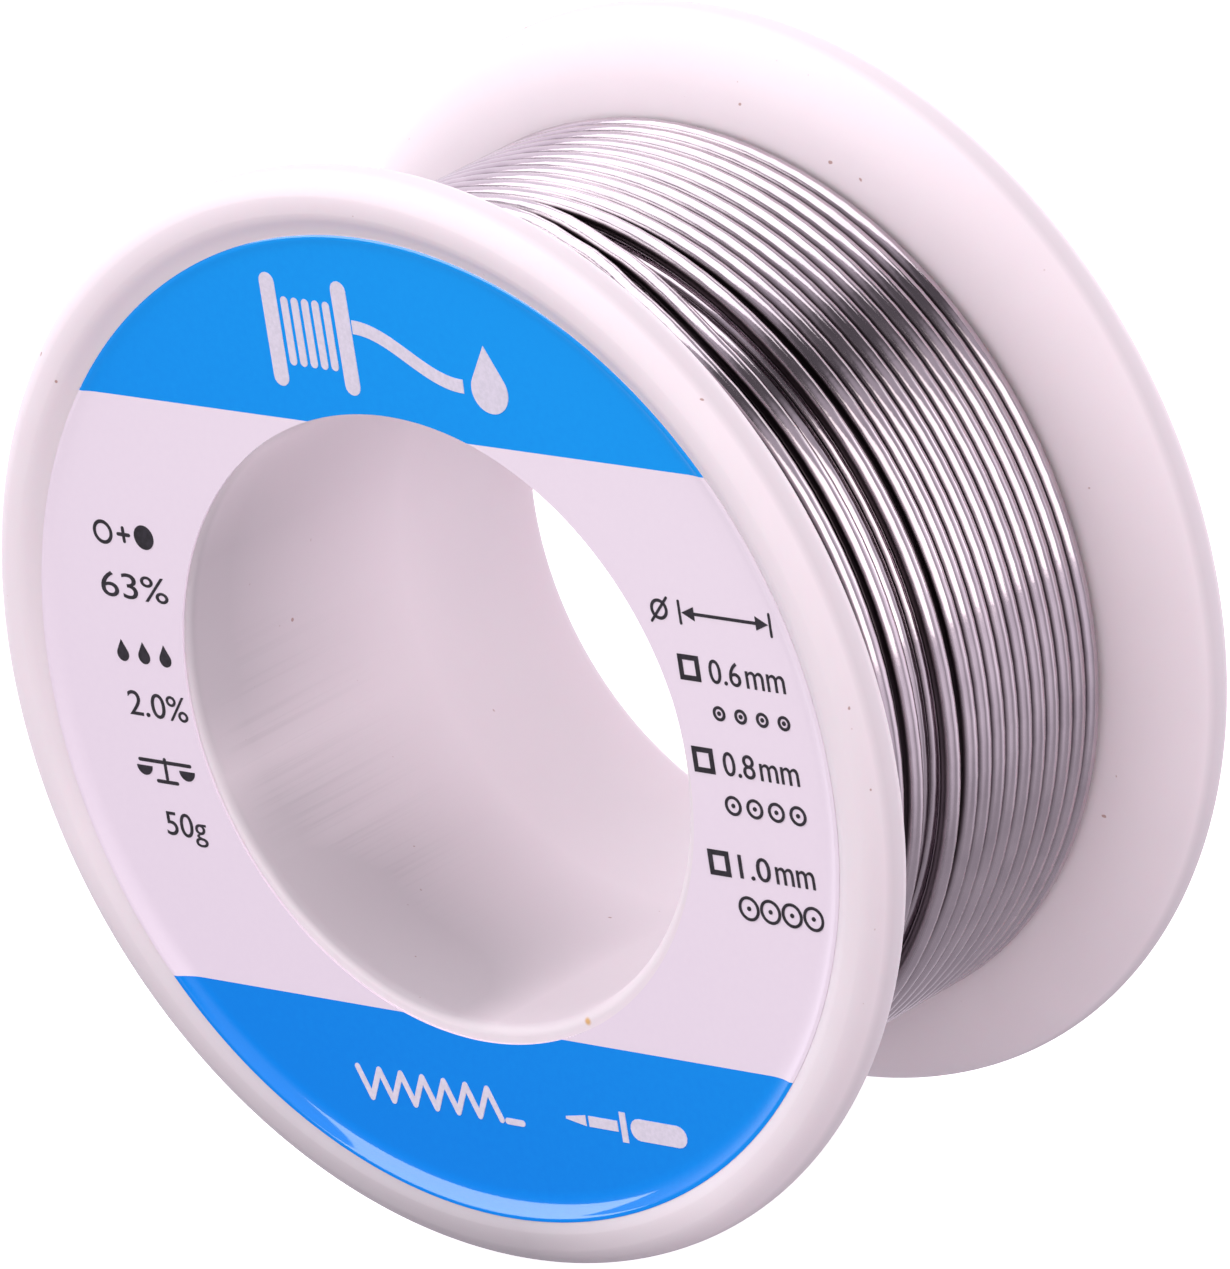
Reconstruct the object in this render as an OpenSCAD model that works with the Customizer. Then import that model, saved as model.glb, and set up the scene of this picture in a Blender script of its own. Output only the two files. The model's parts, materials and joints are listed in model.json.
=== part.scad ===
// Solder wire spool: a one-piece moulded reel, its stuck-on front label, and about
// 12 m of flux-cored solder wire wound on it in seven tidy layers.
// The reel's axis is Y and the label faces -Y. The origin is the centre of the bore.

/* [Reel] */
// Outer diameter of both flanges
flange_d = 44; // [42:1:48]
// Overall width, over the two rims
reel_w = 21.6; // [20.4:1.2:22.8]
// Diameter of the spindle bore
bore_d = 24.5; // [20.5:0.5:24.5]
// Thickness of the tube between bore and wire
hub_wall = 0.95; // [0.8:0.05:1.2]
// Width between the flanges, where the wire lies
winding_w = 14.8; // [14.8:0.1:15]
// Radius of the rounded bead around each rim
rim_r = 1.2; // [1:0.1:1.2]
// Depth of the label recess below the rim
recess_depth = 0.65; // [0.6:0.05:0.7]
// Radius of the fillet between recess and rim
recess_fillet = 1.8; // [1.8:0.2:2]
// Radius of the dished edge on each flange's inner face
dish_r = 5; // [4.5:0.5:6]
// Rounding at both mouths of the bore
mouth_r = 0.4; // [0.2:0.05:0.5]

/* [Label] */
// Diameter of the label
label_d = 39.5; // [36:0.5:39.5]
// Diameter of the label's centre hole
label_hole_d = 25.3; // [25.3:0.4:26.9]
// Thickness of the label
label_t = 0.1; // [0.05:0.05:0.15]
// How far below the bore's centre the label was stuck on
label_drop = 0.3; // [0:0.1:0.3]

/* [Wire] */
// Diameter of the solder wire
wire_d = 0.8; // [0.6:0.1:0.8]
// Diameter of the flux core inside the wire
flux_d = 0.29; // [0.2:0.01:0.36]
// Distance between the centres of neighbouring turns
pitch = 0.81; // [0.81:0.005:0.82]
// Rise from one layer's turn centres to the next layer's
layer_rise = 0.708; // [0.7:0.002:0.72]
// Turns lying tight together in the last layer, counted from the rear flange
tight_turns = 10; // [4:1:12]
// Thickness of the band that joins the turns of one layer
seam_t = 0.2; // [0.1:0.05:0.3]

/* [Hidden] */
$fn = 128;
LAYERS = 7;
full_turns = floor(winding_w / pitch);
flange_r = flange_d / 2;
bore_r = bore_d / 2;
hub_r = bore_r + hub_wall;
half_w = reel_w / 2;
half_winding = winding_w / 2;
wire_r = wire_d / 2;

// The rim bead's crest is trimmed to a narrow flat land that the reel can lie on.
land_trim = 0.04;
rim_ring_r = flange_r - rim_r;
rim_t = half_w + land_trim - rim_r;
web_t = half_w - recess_depth;

// The recess fillet touches the flat of the recess and the rim bead.
fillet_rise = web_t + recess_fillet - rim_t;
fillet_ring_r = rim_ring_r - sqrt(pow(rim_r + recess_fillet, 2) - pow(fillet_rise, 2));
fillet_way = [fillet_ring_r - rim_ring_r, fillet_rise] / (rim_r + recess_fillet);

// The dish is an arc from the flange's flat inner face round to the rim bead.
dish_t = half_winding + dish_r;
dish_ring_r = rim_ring_r - sqrt(pow(dish_r - rim_r, 2) - pow(dish_t - rim_t, 2));
dish_way = [rim_ring_r - dish_ring_r, rim_t - dish_t] / (dish_r - rim_r);

// The last turns lie apart from each other, each in a groove of the layer below. The final
// one is only an arc: the wire ends there.
first_turn = (full_turns - 1) / 2 * pitch;
open_turns = [for (groove = [11, 13, 15]) first_turn - groove * pitch];
tail_turn = first_turn - 16 * pitch;
tail_start = 150;
tail_angle = 120;

function layer_r(i) = hub_r + wire_r + (i - 1) * layer_rise;
function layer_turns(i) = i == LAYERS ? tight_turns : full_turns - (i + 1) % 2;
function layer_start(i) = first_turn - (i + 1) % 2 * pitch / 2;
function turns_of(i) = [for (k = [0 : layer_turns(i) - 1]) layer_start(i) - k * pitch];

// Turns a profile drawn as (radius, Y) about the reel's axis.
module about_axis(angle = 360, start = 0) {
    rotate([-90, 0, 0])
        rotate([0, 0, start])
            rotate_extrude(angle = angle) children();
}

// The flat of one flange between the bore's mouth and the fillet, with the fillet itself.
// grow thickens it, as the label does; back is the Y it is drawn down to.
module recess_part(grow, back) {
    ring = [rim_ring_r, rim_t];
    translate([bore_r + mouth_r, back])
        square([dish_ring_r - bore_r - mouth_r, web_t + grow - back]);
    difference() {
        polygon([
            ring,
            ring + fillet_way * rim_r * 1.5,
            [fillet_ring_r, web_t + recess_fillet / 2],
            [fillet_ring_r, web_t + grow],
            [dish_ring_r, web_t + grow],
            [dish_ring_r, rim_t]
        ]);
        translate([fillet_ring_r, web_t + recess_fillet]) circle(recess_fillet - grow);
    }
}

// The part of the rim bead that shows, from the fillet out and round to the dish.
module bead_part(grow) {
    ring = [rim_ring_r, rim_t];
    intersection() {
        translate(ring) circle(rim_r + grow);
        polygon([
            ring,
            ring + dish_way * rim_r * 3,
            [flange_r + rim_r, rim_t - rim_r * 2],
            [flange_r + rim_r, rim_t + rim_r * 3],
            ring + fillet_way * rim_r * 3
        ]);
    }
}

// The flange's inner side from its flat face round to the rim bead.
module dish_part() {
    ring = [rim_ring_r, rim_t];
    intersection() {
        translate([dish_ring_r, dish_t]) circle(dish_r);
        polygon([
            [dish_ring_r, half_winding - 1],
            [flange_r, half_winding - 1],
            ring + dish_way * rim_r * 2,
            ring,
            [dish_ring_r, rim_t]
        ]);
    }
}

// The rounded mouth of the bore.
module mouth_part() {
    intersection() {
        translate([bore_r + mouth_r, web_t - mouth_r]) circle(mouth_r);
        translate([bore_r - 1, web_t - mouth_r]) square([mouth_r + 1, mouth_r + 1]);
    }
}

// Section of one whole flange.
module flange_section() {
    recess_part(0, half_winding);
    mouth_part();
    dish_part();
    translate([bore_r, half_winding]) square([mouth_r, web_t - mouth_r - half_winding]);
    difference() {
        bead_part(0);
        translate([rim_ring_r - rim_r, half_w]) square([rim_r * 2, rim_r]);
    }
}

module reel_section() {
    for (side = [0, 1]) mirror([0, side]) flange_section();
    translate([bore_r, -half_winding]) square([hub_wall, winding_w]);
}

module spool_body() {
    color([0.93, 0.88, 0.92]) about_axis() reel_section();
}

// The label lies flat in the recess and follows the fillet where it reaches it.
module front_label() {
    color([0.1, 0.55, 0.95])
        intersection() {
            about_axis()
                mirror([0, 1])
                    difference() {
                        union() {
                            recess_part(label_t, web_t - label_t);
                            bead_part(label_t);
                        }
                        recess_part(0, half_winding);
                        bead_part(0);
                    }
            translate([0, 0, -label_drop])
                rotate([90, 0, 0])
                    difference() {
                        cylinder(d = label_d, h = reel_w);
                        cylinder(d = label_hole_d, h = reel_w);
                    }
        }
}

// One tight layer: round turns side by side, joined by a narrow band, with room for the flux.
module tight_layer(i) {
    turns = turns_of(i);
    last = turns[len(turns) - 1];
    color([0.72, 0.71, 0.73])
        about_axis()
            difference() {
                union() {
                    for (y = turns) translate([layer_r(i), y]) circle(wire_r);
                    translate([layer_r(i) - seam_t / 2, last]) square([seam_t, turns[0] - last]);
                }
                for (y = turns) translate([layer_r(i), y]) circle(flux_d / 2);
            }
}

// The last turns, as whole rings and one arc.
module loose_turns() {
    about_axis()
        for (y = open_turns) translate([layer_r(LAYERS), y]) children();
    about_axis(tail_angle, tail_start)
        translate([layer_r(LAYERS), tail_turn]) children();
}

module flux_layer(i) {
    color([0.85, 0.68, 0.3])
        about_axis()
            for (y = turns_of(i)) translate([layer_r(i), y]) circle(flux_d / 2);
}

module wire_layer_1() { tight_layer(1); }
module wire_layer_2() { tight_layer(2); }
module wire_layer_3() { tight_layer(3); }
module wire_layer_4() { tight_layer(4); }
module wire_layer_5() { tight_layer(5); }
module wire_layer_6() { tight_layer(6); }
module wire_layer_7() { tight_layer(7); }
module wire_last_turns() {
    color([0.72, 0.71, 0.73])
        loose_turns()
            difference() {
                circle(wire_r);
                circle(flux_d / 2);
            }
}
module flux_core_1() { flux_layer(1); }
module flux_core_2() { flux_layer(2); }
module flux_core_3() { flux_layer(3); }
module flux_core_4() { flux_layer(4); }
module flux_core_5() { flux_layer(5); }
module flux_core_6() { flux_layer(6); }
module flux_core_7() { flux_layer(7); }
module flux_core_last_turns() {
    color([0.85, 0.68, 0.3]) loose_turns() circle(flux_d / 2);
}

spool_body();
front_label();
wire_layer_1();
wire_layer_2();
wire_layer_3();
wire_layer_4();
wire_layer_5();
wire_layer_6();
wire_layer_7();
wire_last_turns();
flux_core_1();
flux_core_2();
flux_core_3();
flux_core_4();
flux_core_5();
flux_core_6();
flux_core_7();
flux_core_last_turns();
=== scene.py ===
"""Looks for the solder wire spool: reel, printed label, and one continuous wire with its flux."""
import json
import math

import bmesh
import bpy
from mathutils import Matrix, Vector, noise


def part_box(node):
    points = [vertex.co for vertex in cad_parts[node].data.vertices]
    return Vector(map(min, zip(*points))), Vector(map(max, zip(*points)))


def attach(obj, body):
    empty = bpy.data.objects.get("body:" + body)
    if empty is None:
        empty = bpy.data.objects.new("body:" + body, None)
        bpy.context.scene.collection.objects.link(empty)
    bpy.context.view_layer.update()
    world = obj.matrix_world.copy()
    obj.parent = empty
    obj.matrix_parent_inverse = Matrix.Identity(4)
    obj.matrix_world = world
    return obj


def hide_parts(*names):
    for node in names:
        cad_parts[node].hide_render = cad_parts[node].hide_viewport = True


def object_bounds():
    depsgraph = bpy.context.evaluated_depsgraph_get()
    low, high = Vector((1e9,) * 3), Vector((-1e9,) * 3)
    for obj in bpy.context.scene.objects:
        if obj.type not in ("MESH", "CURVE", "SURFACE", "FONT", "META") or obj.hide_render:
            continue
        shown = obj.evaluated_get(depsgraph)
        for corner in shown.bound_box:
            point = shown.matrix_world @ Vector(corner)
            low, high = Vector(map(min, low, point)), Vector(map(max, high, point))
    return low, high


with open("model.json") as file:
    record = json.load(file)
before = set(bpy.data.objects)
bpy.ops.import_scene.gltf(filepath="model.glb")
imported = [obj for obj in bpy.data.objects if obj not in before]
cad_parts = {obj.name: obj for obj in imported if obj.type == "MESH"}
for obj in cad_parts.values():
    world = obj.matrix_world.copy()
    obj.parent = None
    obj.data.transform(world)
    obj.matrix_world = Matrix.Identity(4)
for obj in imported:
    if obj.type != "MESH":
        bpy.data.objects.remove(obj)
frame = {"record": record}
cad_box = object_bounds()

MM = 0.001
UP = (0, 0, 1)

# The reel, in millimetres, as the CAD part has it. Its axis is Y; a name ending in T is a distance
# from the middle along Y, and a RING is the radius at which an arc of the section has its centre.
reel_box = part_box("spool_body")
FLANGE_R = reel_box[1][0] / MM
HALF_W = reel_box[1][1] / MM
BORE_R = next(m["dims"]["r_mm"] for m in frame["record"]["mounts"] if m["name"] == "spindle_bore")
HUB_WALL = 0.95
HUB_R = BORE_R + HUB_WALL
HUB_CORNER = 0.15
HALF_WINDING = 7.4
RIM_R = 1.2
LAND_TRIM = 0.04
RIM_RING = FLANGE_R - RIM_R
RIM_T = HALF_W + LAND_TRIM - RIM_R
RECESS_DEPTH = 0.65
WEB_T = HALF_W - RECESS_DEPTH
FILLET = 1.8
FILLET_T = WEB_T + FILLET
FILLET_RING = RIM_RING - math.sqrt((RIM_R + FILLET) ** 2 - (FILLET_T - RIM_T) ** 2)
DISH = 5.0
DISH_T = HALF_WINDING + DISH
DISH_RING = RIM_RING - math.sqrt((DISH - RIM_R) ** 2 - (DISH_T - RIM_T) ** 2)
MOUTH = 0.4
REEL_STEPS = 256

# The label and the edges of its two blue bands, as Z.
LABEL_T = 0.1
LABEL_R = 19.75
LABEL_HOLE_R = 12.65
LABEL_DROP = 0.3
LABEL_STEPS = 360
BAND_TOP = 11.7
BAND_BOTTOM = -12.3
INK_T = 0.014
INK_STEP = 0.0003
INK_SUNK = 0.006

# The wire. Its tube is a hair thicker than the wire, so that tight turns all but touch.
WIRE_R = 0.4
TUBE_R = WIRE_R + 0.004
FLUX_R = 0.145
PITCH = 0.81
LAYERS = 7
FULL_TURNS = 18
TIGHT_TURNS = 10
WANDER = 0.005
# How much further out than the layer below a turn lies when it sits in a groove.
GROOVE_RISE = 0.692
# Where the loose turns lie in front, as Y, and the last one that ends out of sight.
LOOSE_Y = (-1.6, -3.7, -4.95, -5.9)
# Each turn runs down from TURN_START by 360 degrees, the last one only by LAST_SWEEP. After
# CROSS_START it moves over to the next turn's place.
TURN_START = 180
CROSS_START = -120
LAST_SWEEP = 92
OUTER_STEPS = 96
INNER_STEPS = 24


# ---------------------------------------------------------------- camera, light and floor

def make_camera():
    """A long lens that looks from the right, in front and above, with its head tilted a little."""
    azimuth, elevation, roll = (math.radians(a) for a in (43.4, 19.4, -8.9))
    aim = Vector((0.2, 0.1, -0.2)) * MM
    distance = 0.5755
    back = Vector((math.sin(azimuth) * math.cos(elevation),
                   -math.cos(azimuth) * math.cos(elevation),
                   math.sin(elevation)))
    data = bpy.data.cameras.new("camera")
    data.sensor_fit = "HORIZONTAL"
    data.sensor_width = 36.0
    data.lens = 442.4
    data.clip_start = 0.05
    data.clip_end = 20.0
    camera = bpy.data.objects.new("camera", data)
    camera.location = aim + back * distance
    turn = (-back).to_track_quat("-Z", "Y").to_matrix()
    camera.rotation_euler = (turn @ Matrix.Rotation(roll, 3, "Z")).to_euler()
    bpy.context.scene.collection.objects.link(camera)
    bpy.context.scene.camera = camera


def make_light(name, azimuth, elevation, distance, size, radiance, colour):
    """A softbox that faces the origin. azimuth runs from +X towards -Y; size is width and height."""
    azimuth, elevation = math.radians(azimuth), math.radians(elevation)
    way = Vector((math.cos(azimuth) * math.cos(elevation),
                  -math.sin(azimuth) * math.cos(elevation),
                  math.sin(elevation)))
    data = bpy.data.lights.new(name, "AREA")
    data.shape = "RECTANGLE"
    data.size, data.size_y = size
    data.energy = radiance * math.pi * size[0] * size[1]
    data.color = colour
    light = bpy.data.objects.new(name, data)
    light.location = way * distance
    light.rotation_euler = (-way).to_track_quat("-Z", "Y").to_euler()
    bpy.context.scene.collection.objects.link(light)


def make_studio():
    """Four softboxes and the room, shown with no film curve."""
    make_light("right_softbox", 28, 16, 0.75, (0.78, 0.60), 1.52, (1.0, 0.95, 0.90))
    make_light("top_softbox", 205, 76, 0.75, (0.95, 1.0), 1.45, (1.0, 0.98, 1.0))
    make_light("front_softbox", 130, 25, 0.9, (0.55, 0.72), 3.35, (1.0, 0.985, 1.0))
    make_light("back_softbox", -90, 14, 0.8, (1.2, 0.5), 1.1, (0.98, 1.0, 0.98))
    bpy.context.scene.world = studio_world()
    bpy.context.scene.view_settings.view_transform = "Standard"


def studio_world():
    """A pale room with brighter walls to the left, to the right and behind, and two darker places."""
    world = bpy.data.worlds.new("studio")
    world.use_nodes = True
    n = Nodes(world)
    way = n.add("ShaderNodeTexCoord").outputs["Generated"]

    def near(direction, wide, close, low, high):
        """low..high as the view way turns from wide to close to the direction, both as cosines."""
        node = n.add("ShaderNodeVectorMath")
        node.operation = "DOT_PRODUCT"
        n.link(way, node.inputs[0])
        node.inputs[1].default_value = Vector(direction).normalized()
        return n.span(node.outputs["Value"], low, high, wide, close)

    level = n.total(near(UP, -0.15, 0.20, 0.49, 0.60), near(UP, 0.3, 0.9, 0.0, 0.08))
    left = near((-0.8, 0.58, 0.0), 0.45, 0.80, 0.0, 0.7)
    right = near((0.90, -0.40, -0.10), 0.72, 0.966, 0.0, 0.58)
    behind = near((0.46, 0.89, 0.0), 0.72, 0.95, 0.0, 1.0)
    # The gap between the right and the top softbox is a long dark strip along Y.
    across = n.math("ABSOLUTE", near((-0.861, 0, 0.508), -1, 1, -1, 1))
    elsewhere = near((0.508, 0, 0.861), 0.2, 0.0, 0.0, 1.0)
    gap = n.math("MAXIMUM", n.span(across, 0.2, 1.0, 0.09, 0.21), elsewhere)
    # Low on the left in front the room is darker, so the printed blue stays deep.
    corner = near((-0.65, -0.68, -0.33), 0.85, 0.97, 1.0, 0.28)
    strength = n.product(n.total(level, left, right, behind), gap, corner)
    background = world.node_tree.nodes["Background"]
    background.inputs["Color"].default_value = (0.87, 0.80, 0.90, 1)
    n.link(strength, background.inputs["Strength"])
    return world


def make_floor(material):
    """The surface that the reel stands on. It is left out of reflections and bounced light."""
    size = 3.0
    z = cad_box[0][2]
    mesh = bpy.data.meshes.new("floor")
    mesh.from_pydata([(-size, -size, z), (size, -size, z), (size, size, z), (-size, size, z)],
                     [], [(0, 1, 2, 3)])
    mesh.materials.append(material)
    floor = bpy.data.objects.new("floor", mesh)
    bpy.context.scene.collection.objects.link(floor)
    floor.visible_glossy = False
    floor.visible_diffuse = False


# ---------------------------------------------------------------- shader helpers

def new_material(name, **values):
    """A Principled material. values sets its sockets, with _ for a space."""
    material = bpy.data.materials.new(name)
    material.use_nodes = True
    shader = material.node_tree.nodes["Principled BSDF"]
    for key, value in values.items():
        shader.inputs[key.replace("_", " ")].default_value = value
    return material, shader


class Nodes:
    """Short names for adding and joining shader nodes."""

    def __init__(self, owner):
        self.tree = owner.node_tree

    def link(self, source, target):
        self.tree.links.new(source, target)

    def feed(self, target, value):
        """Joins a socket to the target, or sets the target's own value."""
        if isinstance(value, bpy.types.NodeSocket):
            self.link(value, target)
        else:
            target.default_value = value

    def add(self, kind, **inputs):
        node = self.tree.nodes.new(kind)
        for key, value in inputs.items():
            self.feed(node.inputs[key.replace("_", " ")], value)
        return node

    def place(self):
        """Object coordinates."""
        return self.add("ShaderNodeTexCoord").outputs["Object"]

    def axes(self):
        """Object coordinates as separate X, Y and Z."""
        split = self.add("ShaderNodeSeparateXYZ", Vector=self.place())
        return [split.outputs[axis] for axis in "XYZ"]

    def noise(self, vector, scale, detail=3.0, roughness=0.5):
        node = self.add("ShaderNodeTexNoise", Vector=vector, Scale=scale, Detail=detail,
                        Roughness=roughness)
        return node.outputs["Fac"]

    def ramp(self, factor, *stops):
        """Colour by factor, between two stops given as (position, colour)."""
        node = self.add("ShaderNodeValToRGB", Fac=factor)
        for element, (position, colour) in zip(node.color_ramp.elements, stops):
            element.position = position
            element.color = (*colour, 1)
        return node.outputs["Color"]

    def mix(self, factor, a, b, blend="MIX"):
        """Colour a, turned into b by the factor."""
        node = self.add("ShaderNodeMix")
        node.data_type = "RGBA"
        node.blend_type = blend
        for name, value in (("Factor", factor), ("A", a), ("B", b)):
            self.feed(node.inputs[name], value)
        return node.outputs["Result"]

    def span(self, factor, low, high, start=0.0, end=1.0):
        """Maps start..end to low..high."""
        node = self.add("ShaderNodeMapRange", Value=factor, From_Min=start, From_Max=end,
                        To_Min=low, To_Max=high)
        return node.outputs["Result"]

    def math(self, operation, *values):
        node = self.add("ShaderNodeMath")
        node.operation = operation
        for socket, value in zip(node.inputs, values):
            self.feed(socket, value)
        return node.outputs["Value"]

    def total(self, first, *others):
        for other in others:
            first = self.math("ADD", first, other)
        return first

    def product(self, first, *others):
        for other in others:
            first = self.math("MULTIPLY", first, other)
        return first

    def radius(self, x, z):
        """Distance from the reel's axis."""
        return self.math("SQRT", self.total(self.product(x, x), self.product(z, z)))

    def bump(self, height, distance):
        return self.add("ShaderNodeBump", Height=height, Strength=1.0, Distance=distance).outputs["Normal"]

    def around(self, turn_scale, radial_scale, axial_scale):
        """Coordinates that run round the reel's axis: slow along a turn, quick across it."""
        x, y, z = self.axes()
        node = self.add("ShaderNodeCombineXYZ",
                        X=self.product(self.math("ARCTAN2", z, x), turn_scale),
                        Y=self.product(self.radius(x, z), radial_scale),
                        Z=self.product(y, axial_scale))
        return node.outputs["Vector"]


# ---------------------------------------------------------------- the reel's plastic

def plastic_material():
    """White polystyrene: faintly cloudy and translucent, with specks, painted shade, rub streaks and
    shallow drag marks.
    """
    material, shader = new_material("reel_plastic", IOR=1.5, Specular_IOR_Level=0.35,
                                    Subsurface_Weight=0.25, Subsurface_Scale=0.0015,
                                    Subsurface_Radius=(1.0, 0.7, 0.8))
    n = Nodes(material)
    clouds = n.ramp(n.noise(n.place(), 90.0), (0.3, (0.86, 0.78, 0.815)), (0.7, (0.89, 0.81, 0.845)))
    specks = n.ramp(n.noise(n.place(), 2600.0, detail=0.0), (0.10, (0.6, 0.45, 0.40)), (0.12, (1, 1, 1)))
    clean = n.mix(1.0, clouds, specks, "MULTIPLY")
    n.link(flux_fleck(n, worn(n, clean)), shader.inputs["Base Color"])
    n.link(n.span(n.noise(n.place(), 350.0), 0.44, 0.58), shader.inputs["Roughness"])
    drag = n.noise(n.around(18.0, 0.0, 12.0), 1.0, detail=4.0)
    grain = n.noise(n.place(), 2500.0)
    n.link(n.bump(n.total(drag, n.product(grain, 0.25)), 0.00001), shader.inputs["Normal"])
    return material


def worn(n, colour):
    """Paints shade into the plastic's colour in the bore, low on the front rim and round the flanges'
    outline, and adds rub streaks in the bore.
    """
    x, y, z = n.axes()
    radius = n.radius(x, z)
    shade_and_rubs = n.total(outline_tone(n, y, z, radius),
                   bore_wear(n, x, y, z, radius),
                   rim_wear(n, x, y, z, radius))
    # Painted shade: the masks darken the colour towards this grey.
    return n.mix(n.math("MINIMUM", shade_and_rubs, 1.0), colour, (0.58, 0.59, 0.60, 1), "MULTIPLY")


def bore_wear(n, x, y, z, radius):
    """Painted shade on the bore's walls behind its front mouth, and rub streaks low on the left."""
    inside = n.span(radius, 1.0, 0.0, (BORE_R + 0.05) * MM, (BORE_R + 0.35) * MM)

    def side(turn, wide, close):
        """0..1 as the wall turns to face the given angle, wide and close as cosines."""
        turn = math.radians(turn)
        facing = n.total(n.product(x, math.cos(turn)), n.product(z, math.sin(turn)))
        return n.span(facing, 0.0, 1.0, wide * BORE_R * MM, close * BORE_R * MM)

    # Painted shade: the walls facing these angles are darker near the front mouth.
    walls = n.total(side(170, 0.70, 0.97),
                    n.product(side(235, 0.80, 0.99), 1.3),
                    n.product(side(275, 0.85, 0.98), 0.4))
    front = n.product(n.span(y, 1.0, 0.0, -8 * MM, 2 * MM), walls)
    streaks = n.noise(n.around(34.0, 0.0, 25.0), 1.0, detail=5.0, roughness=0.65)
    rubs = n.product(n.span(streaks, 0.0, 1.0, 0.50, 0.60),
                     n.span(z, 1.0, 0.0, -4 * MM, 2 * MM),
                     n.span(x, 1.0, 0.0, -9 * MM, -5 * MM),
                     n.span(y, 0.0, 1.0, -9.6 * MM, -8 * MM),
                     n.span(y, 0.13, 0.0, -6 * MM, 0.0))
    return n.product(inside, n.total(front, rubs))


def rim_wear(n, x, y, z, radius):
    """Painted shade on the front rim's lower left."""
    return n.product(n.span(radius, 0.0, 1.0, 19 * MM, 20 * MM),
                     n.span(y, 1.0, 0.0, -9.5 * MM, -8 * MM),
                     n.span(z, 1.0, 0.0, -21 * MM, -7 * MM),
                     n.span(x, 1.0, 0.0, 1 * MM, 11 * MM))


def outline_tone(n, y, z, radius):
    """Painted shade: a thin darker line on both flanges' edge, and a faint painted shade high on the rear
    one's inner face.
    """
    edge = n.span(radius, 0.0, 0.4, (FLANGE_R - 0.16) * MM, (FLANGE_R - 0.03) * MM)
    inner = n.product(n.span(y, 0.0, 0.2, 5 * MM, 7 * MM),
                      n.span(z, 0.0, 1.0, 2 * MM, 18 * MM),
                      n.span(radius, 1.0, 0.0, 19.5 * MM, 21.5 * MM))
    return n.total(edge, inner)


def flux_fleck(n, colour):
    """Adds one fleck of flux on the lip of the bore."""
    centre = Vector((5.4, -10.15, -11.4)) * MM
    node = n.add("ShaderNodeVectorMath")
    node.operation = "DISTANCE"
    n.link(n.place(), node.inputs[0])
    node.inputs[1].default_value = centre
    spot = n.span(node.outputs["Value"], 0.9, 0.0, 0.08 * MM, 0.2 * MM)
    return n.mix(spot, colour, (0.72, 0.42, 0.12, 1))


# ---------------------------------------------------------------- other materials

def label_material(name, dark, light):
    """Glossy printed film. The tone drifts from dark at the lower left to light at the upper right."""
    material, shader = new_material(name, IOR=1.4, Specular_IOR_Level=0.0,
                                    Coat_Weight=1.0, Coat_Roughness=0.05, Coat_IOR=1.7)
    n = Nodes(material)
    x, _, z = n.axes()
    grain = n.noise(n.place(), 3500.0, detail=2.0)
    tone = n.total(n.product(grain, 0.3), n.product(x, 10.0), n.product(z, 20.0), 0.35)
    n.link(n.ramp(tone, (0.1, dark), (0.9, light)), shader.inputs["Base Color"])
    n.link(n.span(n.noise(n.place(), 400.0), 0.30, 0.42), shader.inputs["Roughness"])
    n.link(n.bump(n.noise(n.place(), 1800.0), 0.000003), shader.inputs["Normal"])
    return material


def ink_material(name, dark, light):
    """Printed ink, a little uneven."""
    material, shader = new_material(name, IOR=1.45, Coat_Weight=0.15, Coat_Roughness=0.3)
    n = Nodes(material)
    grain = n.noise(n.place(), 6000.0)
    n.link(n.ramp(grain, (0.35, dark), (0.65, light)), shader.inputs["Base Color"])
    n.link(n.span(grain, 0.35, 0.5), shader.inputs["Roughness"])
    n.link(n.bump(grain, 0.000003), shader.inputs["Normal"])
    return material


def solder_material():
    """Drawn solder: painted shade in the grooves between turns, strongest high up, and duller low down."""
    material, shader = new_material("solder", Metallic=1.0)
    n = Nodes(material)
    drawn = n.noise(n.around(6.0, 14000.0, 14000.0), 1.0, detail=2.0)
    cloud = n.noise(n.around(9.0, 900.0, 900.0), 1.0, detail=3.0)
    metal = n.ramp(cloud, (0.3, (0.54, 0.475, 0.515)), (0.75, (0.65, 0.575, 0.615)))
    groove = n.add("ShaderNodeAttribute")
    groove.attribute_name = "groove"
    z = n.axes()[2]
    # Painted shade in the grooves between turns, darker high up; the same mask also roughens them.
    groove_shade = n.product(n.span(groove.outputs["Fac"], 0.0, 1.0, 0.65, 0.93),
                      n.span(z, 0.5, 1.0, -7 * MM, 3 * MM))
    n.link(n.mix(groove_shade, metal, (0.06, 0.045, 0.05, 1)), shader.inputs["Base Color"])
    rough = n.total(n.span(cloud, 0.06, 0.16), n.span(z, 0.14, 0.0, -8 * MM, 1 * MM), n.product(groove_shade, 0.2))
    n.link(rough, shader.inputs["Roughness"])
    nicks = n.noise(n.place(), 3500.0, detail=1.0)
    n.link(n.bump(n.total(drawn, n.product(nicks, 0.5)), 0.000004), shader.inputs["Normal"])
    return material


def flux_material():
    """Amber rosin."""
    material, shader = new_material("flux", IOR=1.53, Roughness=0.25,
                                    Subsurface_Weight=0.3, Subsurface_Scale=0.0004)
    n = Nodes(material)
    amber = n.ramp(n.noise(n.place(), 2500.0), (0.3, (0.55, 0.30, 0.05)), (0.7, (0.80, 0.52, 0.14)))
    n.link(amber, shader.inputs["Base Color"])
    n.link(n.bump(n.noise(n.place(), 5000.0), 0.00001), shader.inputs["Normal"])
    return material


def floor_material():
    """Nearly white, with a little light of its own so that the shadow stays faint."""
    return new_material("floor", Base_Color=(0.9, 0.9, 0.91, 1), Roughness=0.7,
                        Emission_Color=(1.0, 0.99, 1.0, 1), Emission_Strength=0.8)[0]


# ---------------------------------------------------------------- mesh helpers

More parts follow.
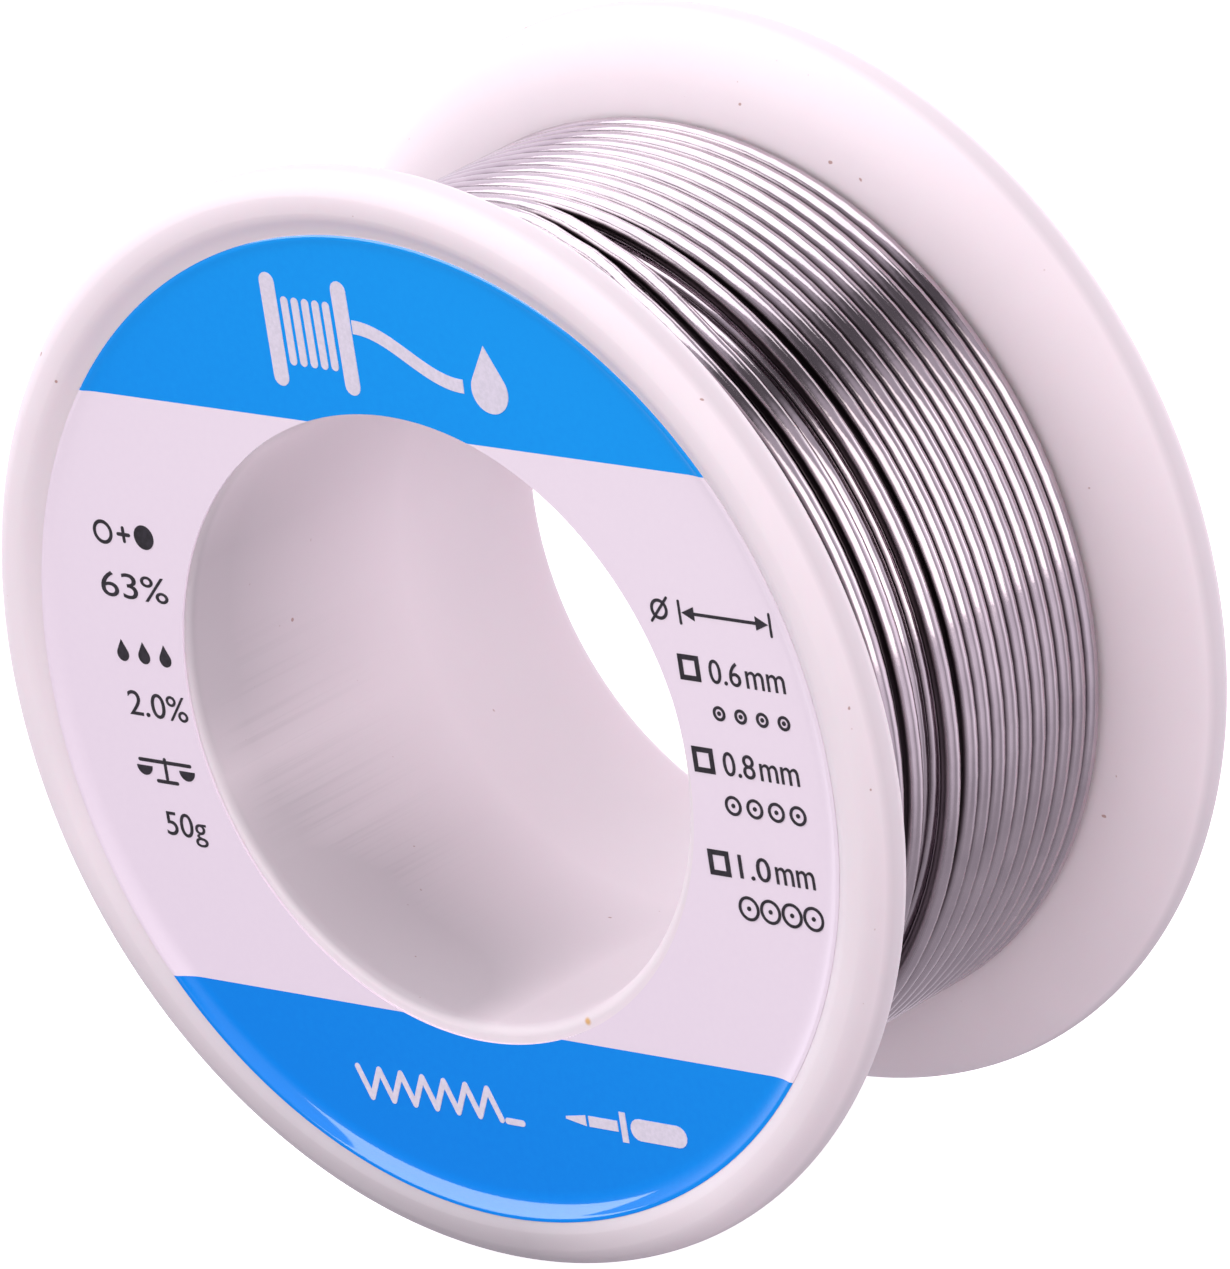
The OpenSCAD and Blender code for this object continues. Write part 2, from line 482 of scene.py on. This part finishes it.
def make_piece(name, verts, faces, material, nodes=()):
    """A smooth-shaded piece in millimetres, riding on the root."""
    mesh = bpy.data.meshes.new(name)
    mesh.from_pydata([Vector(v) * MM for v in verts], [], faces)
    mesh.materials.append(material)
    mesh.shade_smooth()
    mesh.update()
    piece = bpy.data.objects.new(name, mesh)
    bpy.context.scene.collection.objects.link(piece)
    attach(piece, "root")
    if nodes:
        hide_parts(*nodes)
    return piece


def arc(centre, radius, start, end, steps):
    """Points on an arc, in degrees, both ends included."""
    angles = (math.radians(start + (end - start) * i / steps) for i in range(steps + 1))
    return [(centre[0] + radius * math.cos(a), centre[1] + radius * math.sin(a)) for a in angles]


def heading(start, end):
    return math.degrees(math.atan2(end[1] - start[1], end[0] - start[0]))


def straight(start, end, steps):
    """Points on a straight run, with one close to each end so that shading stays flat."""
    near = 0.06 / math.dist(start, end)
    inner = [near + (1 - 2 * near) * i / steps for i in range(steps + 1)]
    return [(start[0] + (end[0] - start[0]) * f, start[1] + (end[1] - start[1]) * f) for f in inner]


def turned_faces(rings, steps, flip=False):
    """Faces between closed rings of points, the last ring joined to the first. flip turns them over."""
    faces = []
    for i in range(rings):
        for step in range(steps):
            here, there = i * steps, (i + 1) % rings * steps
            after = (step + 1) % steps
            face = (here + step, here + after, there + after, there + step)
            faces.append(face[:1] + face[:0:-1] if flip else face)
    return faces


# ---------------------------------------------------------------- the reel

def flange_side():
    """The section of one half of the reel as (radius, distance from the middle), bore to hub."""
    ring, fillet, dish = (RIM_RING, RIM_T), (FILLET_RING, FILLET_T), (DISH_RING, DISH_T)
    to_fillet = heading(ring, fillet)
    to_dish = heading(dish, ring)
    crest = math.degrees(math.asin((HALF_W - RIM_T) / RIM_R))
    corner = (HUB_R + HUB_CORNER, HALF_WINDING - HUB_CORNER)
    points = straight((BORE_R, 0.0), (BORE_R, WEB_T - MOUTH), 6)
    points += arc((BORE_R + MOUTH, WEB_T - MOUTH), MOUTH, 180, 90, 8)
    points += straight((BORE_R + MOUTH, WEB_T), (FILLET_RING, WEB_T), 4)
    points += arc(fillet, FILLET, -90, to_fillet - 180, 8)
    points += arc(ring, RIM_R, to_fillet, 180 - crest, 8)[1:]
    points += arc(ring, RIM_R, crest, to_dish, 26)
    points += arc(dish, DISH, to_dish, -90, 12)[1:]
    points += straight((DISH_RING, HALF_WINDING), (corner[0], HALF_WINDING), 3)
    points += arc(corner, HUB_CORNER, 90, 180, 4)
    points += straight((HUB_R, corner[1]), (HUB_R, 0.0), 3)
    return points


def make_reel(material):
    side = flange_side()
    section = side + [(r, -y) for r, y in reversed(side)]
    verts = []
    for r, y in section:
        for step in range(REEL_STEPS):
            turn = 2 * math.pi * step / REEL_STEPS
            verts.append((r * math.cos(turn), y, r * math.sin(turn)))
    faces = turned_faces(len(section), REEL_STEPS)
    make_piece("reel", verts, faces, material, ["spool_body"])


# ---------------------------------------------------------------- the label

def face_height(r, grow):
    """How far the flange's outer face stands from the middle at radius r, with a film grow thick on it."""
    join = FILLET_RING + (RIM_RING - FILLET_RING) * (FILLET - grow) / (RIM_R + FILLET)
    if r <= FILLET_RING:
        return WEB_T + grow
    if r <= join:
        return FILLET_T - math.sqrt((FILLET - grow) ** 2 - (r - FILLET_RING) ** 2)
    return RIM_T + math.sqrt((RIM_R + grow) ** 2 - (r - RIM_RING) ** 2)


def label_reach(radius, turn):
    """Distance from the bore's axis to a circle drawn on the label, which sits LABEL_DROP too low."""
    low = LABEL_DROP * math.sin(turn)
    return -low + math.sqrt(low * low + radius ** 2 - LABEL_DROP ** 2)


def make_label(white, blue):
    """The film as rings from its hole to its edge: closer over the fillet, and thinner at the very edge."""
    flat = [0, 0.01, 0.25, 0.5, 0.75]
    climb = [0.84 + 0.155 * i / 18 for i in range(19)]
    shares = flat + climb + [1.0]
    rings = [(share, LABEL_T * min(1.0, 0.2 + 40 * (1 - share))) for share in shares]
    rings += [(share, 0.0) for share in reversed(shares)]
    verts = []
    for share, grow in rings:
        for step in range(LABEL_STEPS):
            turn = 2 * math.pi * step / LABEL_STEPS
            hole, edge = label_reach(LABEL_HOLE_R, turn), label_reach(LABEL_R, turn)
            r = hole + (edge - hole) * share
            verts.append((r * math.cos(turn), -face_height(r, grow), r * math.sin(turn)))
    faces = turned_faces(len(rings), LABEL_STEPS, flip=True)
    label = make_piece("front_label_film", verts, faces, white, ["front_label"])
    label.data.materials.append(blue)
    print_bands(label.data)
    label.data.shade_smooth()
    label.data.set_sharp_from_angle(angle=math.radians(40))


def print_bands(mesh):
    """Cuts the film along both bands' edges and gives its front the second material there."""
    cut = bmesh.new()
    cut.from_mesh(mesh)
    for z in (BAND_TOP, BAND_BOTTOM):
        bmesh.ops.bisect_plane(cut, geom=cut.verts[:] + cut.edges[:] + cut.faces[:],
                               plane_co=(0, 0, z * MM), plane_no=UP)
    for face in cut.faces:
        z = face.calc_center_median().z / MM
        in_front = face.normal.y <= -0.3
        face.material_index = int(in_front and (z > BAND_TOP or z < BAND_BOTTOM))
    cut.to_mesh(mesh)
    cut.free()


# ---------------------------------------------------------------- shapes to print
# Each is a curve and the box that it is fitted to, or None where it is drawn at its place.

def filled(*loops):
    """A flat shape between closed loops; a loop inside another is a hole."""
    curve = bpy.data.curves.new("outline", "CURVE")
    curve.dimensions = "2D"
    curve.fill_mode = "BOTH"
    curve.extrude = 0.5
    for loop in loops:
        spline = curve.splines.new("POLY")
        spline.points.add(len(loop) - 1)
        for point, (x, z) in zip(spline.points, loop):
            point.co = (x, z, 0, 1)
        spline.use_cyclic_u = True
    return curve, None


def figures(text, left, low, right, high):
    """Numbers and units fitted to a box on the label."""
    curve = bpy.data.curves.new("figures", "FONT")
    curve.body = text
    curve.extrude = 0.5
    curve.resolution_u = 5
    return curve, (left, low, right, high)


def bar(start, end, width):
    """A bar with round ends."""
    along = heading(start, end)
    return filled(arc(end, width / 2, along - 90, along + 90, 8)
                  + arc(start, width / 2, along + 90, along + 270, 8))


def round_loop(centre, radius):
    return arc(centre, radius, 0, 360, 36)[:-1]


def disc(centre, radius):
    return filled(round_loop(centre, radius))


def ring(centre, radius, width):
    return filled(round_loop(centre, radius), round_loop(centre, radius - width))


def drop(centre, radius):
    """A round drop with its point up."""
    return filled(arc(centre, radius, 150, 390, 24) + [(centre[0], centre[1] + 2 * radius)])


def stroke(points, width):
    """A line of even width with square ends."""
    left, right = [], []
    for i, (x, z) in enumerate(points):
        along = math.radians(heading(points[max(i - 1, 0)], points[min(i + 1, len(points) - 1)]))
        side = (-math.sin(along) * width / 2, math.cos(along) * width / 2)
        left.append((x + side[0], z + side[1]))
        right.append((x - side[0], z - side[1]))
    return filled(right + left[::-1])


def oblong_loop(left, low, right, high):
    return [(left, low), (right, low), (right, high), (left, high)]


def make_print(name, shapes, material):
    """Prints the shapes on the label's face as one piece. Each stands a hair above the one before."""
    verts, faces = [], []
    for index, (curve, box) in enumerate(shapes):
        source = bpy.data.objects.new(curve.name, curve)
        mesh = bpy.data.meshes.new_from_object(source)
        bpy.data.objects.remove(source)
        points = [v.co for v in mesh.vertices]
        first = len(verts)
        faces += [tuple(first + v for v in face.vertices) for face in mesh.polygons]
        if box:
            low = [min(p[axis] for p in points) for axis in (0, 1)]
            high = [max(p[axis] for p in points) for axis in (0, 1)]
            grow = [(box[axis + 2] - box[axis]) / (high[axis] - low[axis]) for axis in (0, 1)]
        else:
            low, grow, box = (0, 0), (1, 1), (0, 0)
        for x, z, height in points:
            lift = INK_T + INK_STEP * index if height > 0 else -INK_SUNK
            verts.append((box[0] + (x - low[0]) * grow[0],
                          -WEB_T - LABEL_T - lift,
                          box[1] + (z - low[1]) * grow[1]))
        bpy.data.meshes.remove(mesh)
    piece = make_piece(name, verts, faces, material)
    piece.data.set_sharp_from_angle(angle=math.radians(40))


# ---------------------------------------------------------------- what is printed, by (X, Z)

def reel_sign():
    """Upper band: a reel from the side, and its wire sagging across to a drop."""
    flanges = [bar((x, 13.4), (x, 17.2), 0.75) for x in (-4.95, -1.35)]
    turns = [bar((-4.2 + 0.525 * i, 14.1), (-4.2 + 0.525 * i, 16.5), 0.36) for i in range(5)]
    sag = [(-0.9 + 5.2 * i / 24, 14.9 + 0.9 * math.cos(math.pi * i / 24)) for i in range(25)]
    return flanges + turns + [stroke(sag, 0.55), drop((5.6, 13.95), 0.9)]


def coil_sign():
    """Lower band, left: a coil drawn as a zigzag, with its end led out."""
    middle, half = -15.53, 0.6
    bends = [(-6.9 + 0.55 * i, middle + (-half if i % 2 else half)) for i in range(14)]
    zigzag = [bar(a, b, 0.26) for a, b in zip(bends, bends[1:])]
    return zigzag + [bar((0.55, middle - half), (1.3, middle - half), 0.26)]


def iron_sign():
    """Lower band, right: a soldering iron's handle, collar, barrel and tip."""
    return [bar((7.3, -15.53), (9.2, -15.53), 0.9),
            filled(oblong_loop(6.35, -16.15, 6.65, -14.91)),
            filled(oblong_loop(4.75, -15.75, 6.2, -15.31)),
            filled([(3.6, -15.58), (4.6, -15.75), (4.6, -15.31), (3.6, -15.48)])]


def alloy_sign():
    """A ring and a disc with a plus between them, for two metals, over the share of the first."""
    return [ring((-15.75, 5.91), 0.5, 0.15),
            disc((-13.62, 5.91), 0.5),
            bar((-14.95, 5.91), (-14.4, 5.91), 0.15),
            bar((-14.675, 5.64), (-14.675, 6.18), 0.15),
            figures("63%", -16.3, 3.25, -12.85, 4.3)]


def flux_sign():
    """Three drops over the flux's share."""
    drops = [drop((x, 0.91), 0.3) for x in (-15.75, -14.65, -13.55)]
    return drops + [figures("2.0%", -15.9, -1.6, -12.85, -0.57)]


def balance_sign():
    """A beam, its post and foot, and two pans, over the weight."""
    stand = [bar((-15.8, -3.42), (-13.2, -3.42), 0.15),
             bar((-14.5, -3.3), (-14.5, -4.1), 0.15),
             bar((-15.0, -4.23), (-14.0, -4.23), 0.15)]
    pans = [filled(arc((x, -3.66), 0.4, 180, 360, 16)) for x in (-15.6, -13.4)]
    return stand + pans + [figures("50g", -14.95, -6.75, -12.88, -5.45)]


def diameter_sign():
    """A struck-out ring, and an arrow that points both ways between two stops."""
    return [ring((12.4, 6.12), 0.42, 0.13),
            bar((11.97, 5.62), (12.83, 6.62), 0.11),
            bar((13.9, 6.12), (17.3, 6.12), 0.13),
            filled([(13.5, 6.12), (14.1, 5.84), (14.1, 6.4)]),
            filled([(17.1, 5.84), (17.7, 6.12), (17.1, 6.4)]),
            bar((13.4, 5.68), (13.4, 6.56), 0.11),
            bar((17.8, 5.68), (17.8, 6.56), 0.11)]


def size_row(size, top):
    """A box to tick, a wire diameter in millimetres, and four wires' ends at that size."""
    row = [filled(oblong_loop(12.95, top - 1.03, 13.97, top),
                  oblong_loop(13.16, top - 0.82, 13.76, top - 0.21)),
           figures("%.1f" % size, 14.42, top - 1.01, 15.95, top - 0.04),
           figures("mm", 16.2, top - 1.0, 18.08, top - 0.3)]
    for i in range(4):
        centre = (14.6 + 1.05 * i, top - 2.2)
        row += [ring(centre, size / 2, 0.12), disc(centre, 0.09)]
    return row


def white_shapes():
    return reel_sign() + coil_sign() + iron_sign()


def black_shapes():
    """Left: what the wire is made of. Right: its diameters."""
    shapes = alloy_sign() + flux_sign() + balance_sign() + diameter_sign()
    for size, top in ((0.6, 4.44), (0.8, 0.77), (1.0, -3.34)):
        shapes += size_row(size, top)
    return shapes


# ---------------------------------------------------------------- the wire

def layer_radius(i):
    """Radius of the centres of layer i's turns, from the CAD part."""
    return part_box("wire_layer_%d" % i)[1][0] / MM - WIRE_R


def smooth(x):
    """An even S from 0 to 1."""
    x = min(1.0, max(0.0, x))
    return x * x * (3 - 2 * x)


def wire_turns():
    """Every turn in winding order, as (layer, Y of its centre). Each layer lies in the grooves below."""
    turns = []
    for i in range(1, LAYERS + 1):
        short = (i + 1) % 2
        count = TIGHT_TURNS + len(LOOSE_Y) if i == LAYERS else FULL_TURNS - short
        first = (FULL_TURNS - 1) / 2 * PITCH - short * PITCH / 2
        ys = [first - k * PITCH for k in range(count)]
        turns += [(i, y) for y in (ys if i % 2 else reversed(ys))]
    return turns


def spread(turn):
    """How far the loose turns have opened at this angle: shut at the top, open in front, less so below."""
    opened = smooth((96 - turn) / 48)
    drawn_in = 0.6 * smooth((-60 - turn) / 60)
    return opened * (1 - drawn_in)


def loose_y(index, y, turn):
    """Y of a turn: index counts the loose ones from 0, and is negative on the tight ones."""
    if index < 0:
        return y
    return y + (LOOSE_Y[min(index, len(LOOSE_Y) - 1)] - y) * spread(turn)


def wire_path():
    """Centre line of the whole wire as (point, outward direction) pairs, in millimetres."""
    turns = wire_turns()
    first_loose = len(turns) - len(LOOSE_Y)
    radii = [0] + [layer_radius(i) for i in range(1, LAYERS + 1)]
    under = [y for layer, y in turns if layer == LAYERS - 1]
    path = []
    for k, (layer, y) in enumerate(turns):
        last = k == len(turns) - 1
        steps = INNER_STEPS if layer < LAYERS - 1 else OUTER_STEPS
        count = steps * LAST_SWEEP // 360 + 1 if last else steps
        next_layer, next_y = (layer, y) if last else turns[k + 1]
        for step in range(count):
            turn = TURN_START - 360 * step / steps
            over = smooth((CROSS_START - turn) / (CROSS_START + 180))
            here_y = loose_y(k - first_loose, y, turn)
            there_y = loose_y(k + 1 - first_loose, next_y, turn + 360)
            at_y = here_y + (there_y - here_y) * over
            at_r = radii[layer] + (radii[next_layer] - radii[layer]) * over
            if k >= first_loose:
                # A turn that leaves its groove rides over the turns below.
                gap = min(abs(at_y - u) for u in under)
                at_r += max(0.0, math.sqrt(4 * WIRE_R ** 2 - gap ** 2) - GROOVE_RISE)
            if layer >= LAYERS - 1:
                at_y += WANDER * noise.noise(Vector((k * 7.3, turn / 50, layer)))
            angle = math.radians(turn)
            outward = Vector((math.cos(angle), 0, math.sin(angle)))
            path.append((outward * at_r + Vector((0, at_y, 0)), outward))
    return path


def make_tube(name, path, radius, sides, overhang, material, nodes):
    """A round tube along the path with closed ends, which stick out by overhang."""
    points = [p for p, _ in path]
    verts = []
    for i, (point, outward) in enumerate(path):
        along = (points[min(i + 1, len(points) - 1)] - points[max(i - 1, 0)]).normalized()
        if overhang and i in (0, len(path) - 1):
            point = point + along * (overhang if i else -overhang)
        across = along.cross(outward).normalized()
        out = across.cross(along)
        for side in range(sides):
            turn = 2 * math.pi * side / sides
            verts.append(point + (out * math.cos(turn) + across * math.sin(turn)) * radius)
    faces = []
    for i in range(len(path) - 1):
        for side in range(sides):
            here, after = i * sides + side, i * sides + (side + 1) % sides
            faces.append((here, after, after + sides, here + sides))
    faces.append(tuple(reversed(range(sides))))
    faces.append(tuple(range((len(path) - 1) * sides, len(path) * sides)))
    piece = make_piece(name, verts, faces, material, nodes)
    piece.data.set_sharp_from_angle(angle=math.radians(60))
    # How far round towards its neighbours each point lies: 0 on the outside, 1 in the groove.
    groove = piece.data.attributes.new("groove", "FLOAT", "POINT")
    depths = [abs(math.sin(2 * math.pi * side / sides)) for side in range(sides)]
    groove.data.foreach_set("value", depths * len(path))


def make_wire(solder, flux):
    """The wire and the flux inside it, which replace the CAD part's rings."""
    path = wire_path()
    parts = [str(i) for i in range(1, LAYERS + 1)]
    make_tube("solder_wire", path, TUBE_R, 16, 0, solder,
              ["wire_layer_" + i for i in parts] + ["wire_last_turns"])
    make_tube("flux_core", path, FLUX_R, 6, 0.02, flux,
              ["flux_core_" + i for i in parts] + ["flux_core_last_turns"])


# ---------------------------------------------------------------- build

make_camera()
make_studio()
make_floor(floor_material())
make_reel(plastic_material())
make_label(label_material("label_white", (0.89, 0.78, 0.89), (0.95, 0.845, 0.935)),
           label_material("label_blue", (0.0, 0.26, 0.90), (0.004, 0.36, 0.98)))
make_print("print_white", white_shapes(),
           ink_material("print_white", (0.72, 0.68, 0.78), (0.80, 0.75, 0.86)))
make_print("print_black", black_shapes(),
           ink_material("print_black", (0.02, 0.018, 0.022), (0.035, 0.03, 0.04)))
make_wire(solder_material(), flux_material())
